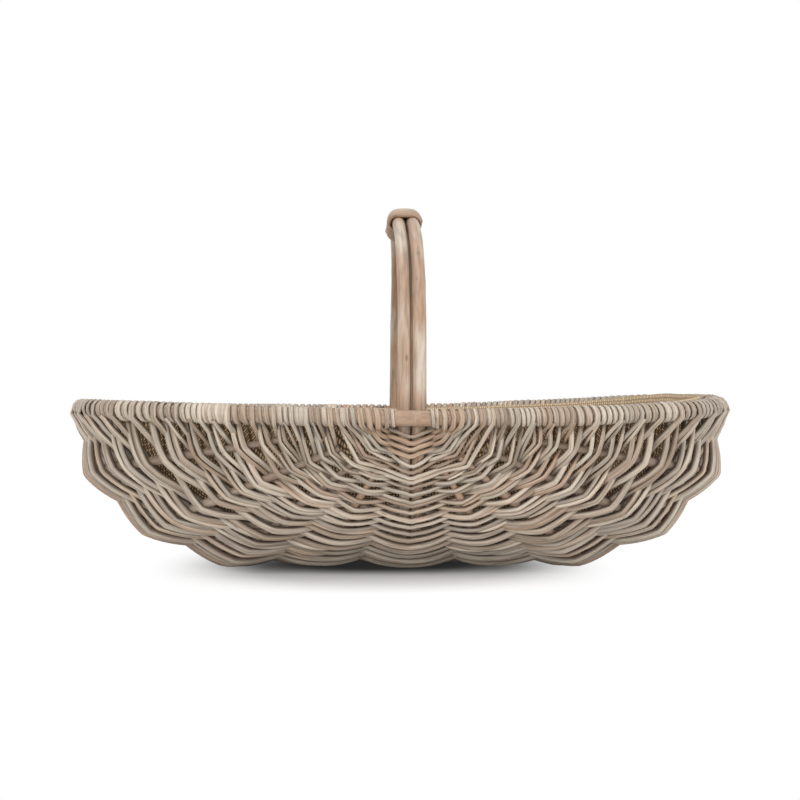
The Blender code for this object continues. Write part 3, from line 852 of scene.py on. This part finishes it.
    def wraps(self, rod, start, end, radius, outwards, lead=0.0):
        """Turns round the rim over a stretch of it, and where its two ends come off."""
        count = max(1, round((end - start) / (2 * radius * WRAP_ROOM)))
        pitch = (end - start) / count
        first = start + pitch / 2
        reach = self.basket.sizes.rim_radius + radius * self.sizes.pressed
        total = math.pi + FULL_TURN * (count - 1)
        number = max(WRAP_STEPS // 2, round((total + lead) / FULL_TURN * WRAP_STEPS))
        points, outs = [], []
        for step in range(number + 1):
            turned = (total + lead) * step / number - lead
            near = self.near_at(rod, first + (turned - QUARTER) / FULL_TURN * pitch)
            points.append(self.spoke(rod, near, turned if outwards else math.pi - turned, reach))
            outs.append((points[-1] - self.middle(rod, near)).normalized())
        arrive = self.near_at(rod, first - QUARTER / FULL_TURN * pitch)
        leave = self.near_at(rod, first + (total - QUARTER) / FULL_TURN * pitch)
        return (points, outs, [self.sizes.pressed] * len(points)), arrive, leave

    def borders(self, first):
        """Where the stretches of rim begin that each change of rows wraps."""
        arcs = [max(self.fanned(0, near), self.sizes.bare_rim + RIM_STEP * number)
                for number, near in enumerate(self.rows)]
        between = [(arcs[i] + arcs[i + 1]) / 2 for i in range(first, len(arcs) - 1, 2)]
        return [self.sizes.bare_rim, *between, self.tables[0][-1][0]]

    def pair_radius(self, pair):
        grown = self.rod_radius(self.rows[2 * pair]) * self.draw.uniform(0.80, 1.25)
        return self.sizes.thick_rod / 2 if pair in THICK_PAIRS else grown

    def strands(self):
        """All strands of this half: points, outs, flats, radii, tone and weaver's number."""
        rods = self.basket.rods
        pairs = len(self.rows) // 2
        thick = [self.pair_radius(pair) for pair in range(pairs)]
        right, left = self.borders(1), self.borders(0)
        rights = [self.wraps(rods[-1], right[pair], right[pair + 1], thick[pair], True)
                  for pair in range(pairs)]
        # The first strand starts with part of a turn more on the left.
        lefts = [self.wraps(rods[0], left[pair], left[pair + 1], thick[min(pair, pairs - 1)],
                            False, 0.0 if pair else 0.6 * math.pi)
                 for pair in range(pairs + 1)]
        for pair, radius in enumerate(thick):
            tone = random_tone(self.draw)
            if pair in THICK_PAIRS:
                tone = Vector((self.draw.uniform(*THICK_TONE[0]), *THICK_TONE[1:]))
            turn, arrive_right, leave_right = rights[pair]
            after, arrive_left, _ = lefts[pair + 1]
            even = self.cross(2 * pair, radius, (lefts[pair][2], arrive_right))
            odd = self.cross(2 * pair + 1, radius, (arrive_left, leave_right))
            legs = [even, turn, [part[::-1] for part in odd], after]
            if pair == 0:
                legs.insert(0, lefts[0][0])
            points, outs, flats = [sum((leg[kind][:-1] for leg in legs[:-1]), []) + after[kind]
                                   for kind in range(3)]
            node = min(WEAVER_NODES - 1, pair * WEAVER_NODES // pairs) + 1
            yield points, outs, flats, self.girths(len(points), radius), tone, node
            for index in (2 * pair, 2 * pair + 1):
                for flipped in (False, True):
                    packed = self.packed(index, radius, flipped)
                    if packed:
                        yield (*packed, random_tone(self.draw), node)

    def packed(self, index, radius, right):
        """A rod packed between two rows where they fan apart, from the rim to an inner rib."""
        if index + 1 >= len(self.rows):
            return None
        room = min(self.fanned(number, self.rows[index + 1]) - self.fanned(number, self.rows[index])
                   for number in (0, 1))
        if room < radius * self.sizes.packing or self.draw.random() > self.sizes.packed_share:
            return None
        inner = self.draw.choice((3, 4, 4, 5))
        rods = self.basket.rods[:inner + 1]
        if right:
            rods = self.basket.rods[self.basket.last - inner:]
        thin = min(radius * self.draw.uniform(0.75, 1.0), room * PACKED_FILL)
        points, outs, _ = self.cross(index, thin, side_rods=rods)
        if right:
            points, outs = points[::-1], outs[::-1]
        hoop = rods[-1] if right else rods[0]
        rim = self.middle(hoop, self.rod_near(hoop, index))
        # It comes out from under the turns on the rim.
        clear = self.basket.sizes.rim_radius * 0.9
        start = 0
        while (points[start] - rim).length < clear and start < len(points) - 8:
            start += 1
        points, outs = points[max(start, 1):], outs[max(start, 1):]
        # The butt is a little thinner where it is pushed in, and the other end is a tip.
        tip = [min(1.0, 0.80 + 0.05 * n, 0.45 + 0.14 * (len(points) - 1 - n))
               for n in range(len(points))]
        return points, outs, [1.0] * len(points), [thin * share for share in tip]

    def girths(self, count, radius):
        """A strand's radii, thinning from butt to tip with a little unevenness."""
        phase = self.draw.uniform(0.0, 50.0)
        taper = self.draw.uniform(0.88, 1.0)
        flip = self.draw.random() < 0.5
        radii = []
        for index in range(count):
            share = index / (count - 1)
            thinned = 1 + (taper - 1) * (1 - share if flip else share)
            radii.append(radius * thinned * (1 + 0.05 * uneven(index * 0.12, phase)))
        return radii


# Operators that make the pieces
class TRUG_OT_finishes(bpy.types.Operator):
    """Mixes the willow and hessian materials"""
    bl_idname = "trug.finishes"
    bl_label = "Finishes"

    def execute(self, context):
        colours = context.scene.trug_colours
        yarn = context.scene.trug_liner.yarn
        for name, finish in WILLOWS.items():
            willow_material(name, colours, *finish)
        hessian_material("liner_hessian", tuple(colours.hessian), yarn, gap_shade_share=0.13)
        hessian_material("hem_hessian", tuple(colours.hem), yarn * 0.8, gap_shade_share=0.45)
        return {"FINISHED"}


class TRUG_OT_rim(bpy.types.Operator):
    """Bends the rim hoop"""
    bl_idname = "trug.rim"
    bl_label = "Rim hoop"

    def execute(self, context):
        basket = Basket(context.scene.trug_frame)
        points = round_hoop(basket.middle, (basket.rods[0], basket.rods[-1]), basket.whole, 150)
        radii = nodes_on([basket.sizes.rim_radius] * len(points), points, spacing=0.11,
                         swell=0.015, draw=random.Random(11))
        shell = rod_shell(points, radii, sides=20, tone=Vector(RIM_TONE), closed=True)
        finish_piece("rim_rod", shell, "frame_willow", "rim_hoop", basket)
        return {"FINISHED"}


class TRUG_OT_handle(bpy.types.Operator):
    """Bends the two handle rods, which run on under the bowl"""
    bl_idname = "trug.handle"
    bl_label = "Handle rods"

    def execute(self, context):
        basket = Basket(context.scene.trug_frame)
        sizes = basket.sizes
        for rod, label, seed, thin in ((basket.rods[5], "left", 3, sizes.left_thinner),
                                       (basket.rods[6], "right", 5, sizes.right_thinner)):
            outward = math.copysign(1.0, rod.reach)
            points, radii = [], []
            keel_steps, arch_steps = 110, 130
            for step in range(keel_steps + 1):
                place = basket.whole * step / keel_steps
                end = min(1.0, min(place, basket.whole - place) / sizes.keel_taper)
                points.append(basket.middle(rod, place))
                points[-1].x -= outward * thin * (1 - end)
                radii.append(basket.radius(rod, place) - thin * (1 - end))
            for step in range(arch_steps - 1, 0, -1):
                angle = math.pi * step / arch_steps
                girth = 1 + 0.09 * uneven(step * 0.05, seed, 7.0) * math.sin(angle)
                radii.append((sizes.handle_radius - thin) * girth)
                # The line between the rods sways from left at the crown to right at the rim.
                sway = -sizes.handle_sway * math.cos(math.pi * math.cos(angle)) * math.sin(angle)
                points.append(basket.arch_point(sway + outward * (radii[-1] + ROD_GAP), angle))
            radii = nodes_on(radii, points, spacing=0.085, swell=0.03, draw=random.Random(seed))
            # Outs point away from the other rod, so that painted shade darkens the gap between the
            # two rods.
            shell = rod_shell(points, radii, sides=22, tone=Vector(HANDLE_TONE), closed=True,
                              begin=seed * 1.0, outs=[Vector((outward, 0.0, 0.0))] * len(points))
            finish_piece(f"handle_rod_{label}", shell, "frame_willow",
                         f"handle_hoop_{label}", basket)
        return {"FINISHED"}


class TRUG_OT_ribs(bpy.types.Operator):
    """Sets in the eight ribs"""
    bl_idname = "trug.ribs"
    bl_label = "Ribs"

    def execute(self, context):
        basket = Basket(context.scene.trug_frame)
        draw = random.Random(23)
        ribs = [rod for rod in basket.rods if rod.kind == "rib"]
        names = [f"left_{n}" for n in (1, 2, 3, 4)] + [f"right_{n}" for n in (4, 3, 2, 1)]
        count = 84
        for rod, label in zip(ribs, names):
            places = [rod.start + (basket.whole - 2 * rod.start) * step / count
                      for step in range(count + 1)]
            points = [basket.middle(rod, place) for place in places]
            radii = [basket.radius(rod, place) for place in places]
            radii = nodes_on(radii, points, spacing=0.07, swell=0.05, draw=draw)
            shell = rod_shell(points, radii, sides=14, tone=random_tone(draw, 0.6))
            finish_piece(f"rib_rod_{label}", shell, "rib_willow", f"rib_{label}",
                         basket)
        return {"FINISHED"}


class TRUG_OT_weave(bpy.types.Operator):
    """Weaves the bowl from both crossings to the middle"""
    bl_idname = "trug.weave"
    bl_label = "Weave"

    def execute(self, context):
        basket = Basket(context.scene.trug_frame)
        for back, label in ((False, "front"), (True, "back")):
            shells = {}
            strands = Weave(basket, context.scene.trug_weave, back).strands()
            for points, outs, flats, radii, tone, node in strands:
                shells.setdefault(node, []).append(
                    rod_shell(points, radii, sides=8, tone=tone, outs=outs, flats=flats))
            for node, group in shells.items():
                finish_piece(f"{label}_weave_{node:02d}", joined(group), "woven_willow",
                             f"{label}_weaver_{node:02d}", basket)
        return {"FINISHED"}


def tight_lap(travelled, reach, radius):
    """Side and height on a line drawn tight round two rods, from under their middle."""
    half_turn = math.pi * radius
    if travelled < reach:
        return travelled, -radius
    if travelled < reach + half_turn:
        angle = (travelled - reach) / radius
        return reach + radius * math.sin(angle), -radius * math.cos(angle)
    if travelled < 3 * reach + half_turn:
        return 2 * reach + half_turn - travelled, radius
    if travelled < 3 * reach + 2 * half_turn:
        angle = (travelled - 3 * reach - half_turn) / radius
        return -reach - radius * math.sin(angle), radius * math.cos(angle)
    return travelled - 4 * reach - 2 * half_turn, -radius


class TRUG_OT_binding(bpy.types.Operator):
    """Winds the skein round the handle's crown"""
    bl_idname = "trug.binding"
    bl_label = "Handle binding"

    def execute(self, context):
        basket = Basket(context.scene.trug_frame)
        sizes = basket.sizes
        own = context.scene.trug_binding
        slim = (sizes.left_thinner + sizes.right_thinner) / 2
        reach = sizes.handle_radius - slim + ROD_GAP
        radius = sizes.handle_radius - slim * 0.5 + own.clearance + own.thickness
        steps_a_turn = 40
        points, levels, radii = [], [], []
        for step in range(own.turns * steps_a_turn + 1):
            turns = step / steps_a_turn
            side, height = tight_lap((turns % 1) * (4 * reach + FULL_TURN * radius), reach, radius)
            angle = QUARTER + (turns - own.turns / 2) * own.pitch / sizes.handle_rise
            puff = 0.0
            if height > 0:
                over = math.cos(QUARTER * side / (2 * reach + radius))
                height += own.dome * max(0.0, over)
                from_end = min(turns, own.turns - turns)
                puff = math.exp(-(from_end / own.swollen_turns) ** 2) * own.swell * over
            height -= puff * own.thickness
            radii.append(own.thickness * (1 + 0.10 * uneven(step * 0.031, 2.0) + puff))
            middle = basket.arch_point(side - sizes.handle_sway * 0.8, angle)
            points.append(middle + Vector((0.0, -math.cos(angle), math.sin(angle))) * height)
            levels.append(Vector((0.0, math.sin(angle), math.cos(angle))))
        frames = []
        for index, level in enumerate(levels):
            before, after = points[max(index - 1, 0)], points[min(index + 1, len(points) - 1)]
            tangent = (after - before).normalized()
            side = (level - tangent * level.dot(tangent)).normalized()
            frames.append((side, tangent.cross(side), tangent))
        shell = rod_shell(points, radii, sides=12, tone=random_tone(random.Random(41)),
                          frames=frames, wide=own.width / own.thickness)
        finish_piece("handle_skein", shell, "split_skein", "handle_binding",
                     basket)
        return {"FINISHED"}


def liner_place(basket, column, place, inset):
    """A point of the liner, set in from a rod's middle. The two keel rods are one column."""
    columns = basket.rods[:6] + basket.rods[7:]
    rod = columns[column]
    middle = basket.middle(rod, place)
    if rod.kind == "keel":
        middle.x = 0.0
    if min(place, basket.whole - place) <= 1e-6:
        side = -1 if place <= basket.quarter else 1
        return Vector((0.0, side * (basket.keel_half_width - inset), basket.sizes.rim_height))
    direction = basket.direction(rod, place)
    if column in (0, len(columns) - 1):
        normal = direction.cross(UP).normalized()
    else:
        across = (basket.middle(columns[column + 1], place)
                  - basket.middle(columns[column - 1], place))
        normal = across.cross(direction).normalized()
    if normal.dot(middle - UP * basket.sizes.rim_height) < 0:
        normal.negate()
    normal.z *= clamped((basket.sizes.rim_height - middle.z) / (basket.sizes.rim_height * 0.5))
    return middle - normal.normalized() * inset


class TRUG_OT_liner(bpy.types.Operator):
    """Lays the hessian liner in the bowl"""
    bl_idname = "trug.liner"
    bl_label = "Hessian liner"

    def execute(self, context):
        basket = Basket(context.scene.trug_frame)
        own = context.scene.trug_liner
        columns = len(basket.rods) - 1
        across_steps, along_steps = 90, 110
        cloth = bmesh.new()
        bmesh.ops.create_grid(cloth, x_segments=across_steps, y_segments=along_steps, size=1.0)
        flat = cloth.verts.layers.float_vector.new("flat")
        lines = {}
        for vert in cloth.verts:
            row = round((vert.co.y + 1) / 2 * along_steps)
            lines.setdefault(row, []).append(vert)
        for row, verts in lines.items():
            place = basket.whole * row / along_steps
            corners = [liner_place(basket, column, place, own.inset) for column in range(columns)]
            run = [0.0]
            for before, after in zip(corners, corners[1:]):
                run.append(run[-1] + (after - before).length)
            verts.sort(key=lambda vert: vert.co.x)
            for number, vert in enumerate(verts):
                want = run[-1] * number / across_steps
                column = 0
                while column < columns - 2 and run[column + 1] < want:
                    column += 1
                share = clamped((want - run[column]) / max(run[column + 1] - run[column], 1e-9))
                vert.co = corners[column].lerp(corners[column + 1], share)
                vert[flat] = Vector((want - run[-1] / 2, place, 0.0))
        bmesh.ops.remove_doubles(cloth, verts=cloth.verts, dist=0.0001)
        inner = [vert for vert in cloth.verts if not vert.is_boundary]
        for _ in range(3):
            bmesh.ops.smooth_vert(cloth, verts=inner, factor=0.5, use_axis_x=True,
                                  use_axis_y=True, use_axis_z=True)
        for vert in inner:
            x, y, z = vert.co
            ripple = 0.0022 * uneven(x * 14, y * 14, z * 22)
            fine = 0.0006 * uneven(x * 45, y * 45, z * 45)
            inward = Vector((-x, -y, basket.sizes.rim_height - z)).normalized()
            vert.co += inward * (0.0012 + ripple + fine)
        bmesh.ops.recalc_face_normals(cloth, faces=cloth.faces)
        area = sum(face.calc_area() for face in cloth.faces)
        bmesh.ops.solidify(cloth, geom=cloth.faces[:], thickness=own.thickness)
        bmesh.ops.recalc_face_normals(cloth, faces=cloth.faces)
        piece = finish_piece("liner_cloth", cloth, "liner_hessian", "hessian_liner",
                             basket, sharp=80.0)
        piece["flat_area"] = area
        return {"FINISHED"}


class TRUG_OT_hem(bpy.types.Operator):
    """Lays a band along the liner's upper edge as its folded and sewn hem"""
    bl_idname = "trug.hem"
    bl_label = "Liner hem"

    def execute(self, context):
        basket = Basket(context.scene.trug_frame)
        own = context.scene.trug_liner
        edge = round_hoop(lambda column, place: liner_place(basket, column, place, own.inset),
                          (0, len(basket.rods) - 2), basket.whole, 120)
        shell = bmesh.new()
        flat = shell.verts.layers.float_vector.new("flat")
        section = shell.verts.layers.float_vector.new("section")
        verts = bmesh.ops.create_circle(shell, segments=14, radius=1.0)["verts"]
        for vert in verts:
            # The round section grows square, as a folded edge is.
            x = math.copysign(abs(vert.co.x) ** 0.6, vert.co.x)
            vert[section] = Vector((x, math.copysign(abs(vert.co.y) ** 0.7, vert.co.y), 0.0))
        first_edges = list(shell.edges)
        edges = first_edges
        run = 0.0
        for index, middle in enumerate(edge):
            if index:
                verts, edges = drawn_on(shell, edges)
                run += (middle - edge[index - 1]).length
            step = edge[(index + 1) % len(edge)] - edge[index - 1]
            inward = Vector((step.y, -step.x, 0.0)).normalized()
            if inward.dot(middle) > 0:
                inward.negate()
            # It stands higher toward the right end.
            rise = clamped((middle.x - 0.19) / 0.10)
            tall = own.hem_height * (1 + 0.70 * rise * rise * (3 - 2 * rise))
            puff = 1 + 0.18 * uneven(run * 60)
            lift = 0.0012 * uneven(run * 22, 9.0) - own.hem_sunk
            for vert in verts:
                x, y, _ = vert[section]
                vert.co = (middle + inward * (own.hem_thickness / 2 * (1 + x * puff))
                           + UP * (tall / 2 * (1 + y) + lift))
                vert[flat] = Vector((y * own.hem_height / 2 + (0.02 if x > 0 else 0.0), run, 0.0))
        bmesh.ops.bridge_loops(shell, edges=first_edges + edges)
        bmesh.ops.recalc_face_normals(shell, faces=shell.faces)
        shell.verts.layers.float_vector.remove(section)
        piece = finish_piece("liner_hem_band", shell, "hem_hessian", "liner_hem",
                             basket, sharp=80.0)
        return {"FINISHED"}


# The stage
def floor_material(colours):
    """White where the camera sees it, but for the shadow under the bowl."""
    _, shader, start = new_material("floor")
    shader.inputs["Roughness"].default_value = 0.9
    shader.inputs["Specular IOR Level"].default_value = 0.0
    spot = start.made("ShaderNodeTexCoord", {}, "Object").shifted((0.018, 0.0, 0.0))
    away = spot.in_oval(*LIT_OVAL).step(0.48, 1.0)
    # Under the bowl the shadow is deepest where the weave touches the floor.
    deep = spot.in_oval(*DEEP_OVAL).step(0.35, 1.0)
    soft = spot.shifted((0.03, 0.0, 0.0)).in_oval(*SOFT_OVAL).step(0.35, 1.0)
    shade = soft.mix(SOFT_SHADE, tuple(colours.floor))
    deep.mix(DEEP_SHADE, shade).into(shader.inputs["Base Color"])
    glow = start.made("ShaderNodeEmission", {}, Strength=deep * 0.21 + 0.02)
    lit = start.made("ShaderNodeAddShader", {}, i0=Socket(start.tree, shader.outputs[0]), i1=glow)
    white = start.made("ShaderNodeEmission", {}, Strength=1.0)
    faded = start.made("ShaderNodeMixShader", {}, Fac=away, i1=lit, i2=white)
    bounce = start.made("ShaderNodeBsdfDiffuse", {}, Color=(*colours.floor, 1.0))
    both = start.made("ShaderNodeMixShader", {}, Fac=start.seen_rays(), i1=bounce, i2=faded)
    both.into(start.tree.nodes["Material Output"].inputs[0])


def aimed(name, data, place, aim):
    """Sets a lamp or the camera at a place, turned to what it looks at."""
    holder = bpy.data.objects.new(name, data)
    holder.location = place
    holder.rotation_euler = (Vector(aim) - Vector(place)).to_track_quat("-Z", "Y").to_euler()
    bpy.context.scene.collection.objects.link(holder)
    return holder


class TRUG_OT_stage(bpy.types.Operator):
    """Sets the floor, the backdrop, the soft lamps and the camera"""
    bl_idname = "trug.stage"
    bl_label = "Stage"

    def execute(self, context):
        scene = context.scene
        floor_material(scene.trug_colours)
        shell = bmesh.new()
        bmesh.ops.create_grid(shell, x_segments=1, y_segments=1, size=12.0)
        bmesh.ops.translate(shell, verts=shell.verts, vec=(0.0, 0.0, -0.0004))
        mesh_object("floor", shell, "floor")

        world = bpy.data.worlds.new("studio")
        scene.world = world
        world.use_nodes = True
        sky = world.node_tree.nodes["Background"]
        sky.inputs["Color"].default_value = (1.0, 1.0, 1.0, 1.0)
        seen = Socket(world.node_tree).seen_rays()
        (WORLD_STRENGTH + seen * (1.0 - WORLD_STRENGTH)).into(sky.inputs["Strength"])

        for name, place, size, power in LAMPS:
            lamp = bpy.data.lights.new(name, "AREA")
            lamp.shape = "RECTANGLE"
            lamp.size, lamp.size_y = size
            lamp.energy = power
            aimed(name, lamp, place, (0.0, 0.0, 0.1))

        camera = bpy.data.cameras.new("camera")
        camera.sensor_width = 36.0
        camera.lens = 85.3
        distance, azimuth = 1.9, math.radians(-1.3)
        eye = (distance * math.sin(azimuth), -distance * math.cos(azimuth), 0.178)
        scene.camera = aimed("camera", camera, eye, (0.0005, 0.0, 0.164))
        scene.view_settings.view_transform = "Standard"
        return {"FINISHED"}


class TRUG_PT_panel(bpy.types.Panel):
    """Lists the trug's sizes and the steps that build it"""
    bl_idname = "TRUG_PT_panel"
    bl_label = "Willow trug"
    bl_space_type = "VIEW_3D"
    bl_region_type = "UI"
    bl_category = "Trug"

    def draw(self, context):
        for name in GROUPS:
            group = getattr(context.scene, name)
            for key in group.__annotations__:
                self.layout.prop(group, key)
        for step in STEPS:
            self.layout.operator(step.bl_idname)


GROUPS = {"trug_frame": TrugFrameSizes, "trug_weave": TrugWeaveSizes,
          "trug_binding": TrugBindingSizes, "trug_liner": TrugLinerSizes,
          "trug_colours": TrugColours}
STEPS = (TRUG_OT_finishes, TRUG_OT_rim, TRUG_OT_handle, TRUG_OT_ribs, TRUG_OT_weave,
         TRUG_OT_binding, TRUG_OT_liner, TRUG_OT_hem, TRUG_OT_stage)
CLASSES = (*GROUPS.values(), *STEPS, TRUG_PT_panel)


def register():
    for kind in CLASSES:
        bpy.utils.register_class(kind)
    for name, group in GROUPS.items():
        setattr(bpy.types.Scene, name, PointerProperty(type=group))


def unregister():
    for name in GROUPS:
        delattr(bpy.types.Scene, name)
    for kind in reversed(CLASSES):
        bpy.utils.unregister_class(kind)


def main():
    register()
    for step in STEPS:
        group, name = step.bl_idname.split(".")
        getattr(getattr(bpy.ops, group), name)()


if __name__ == "__main__":
    main()
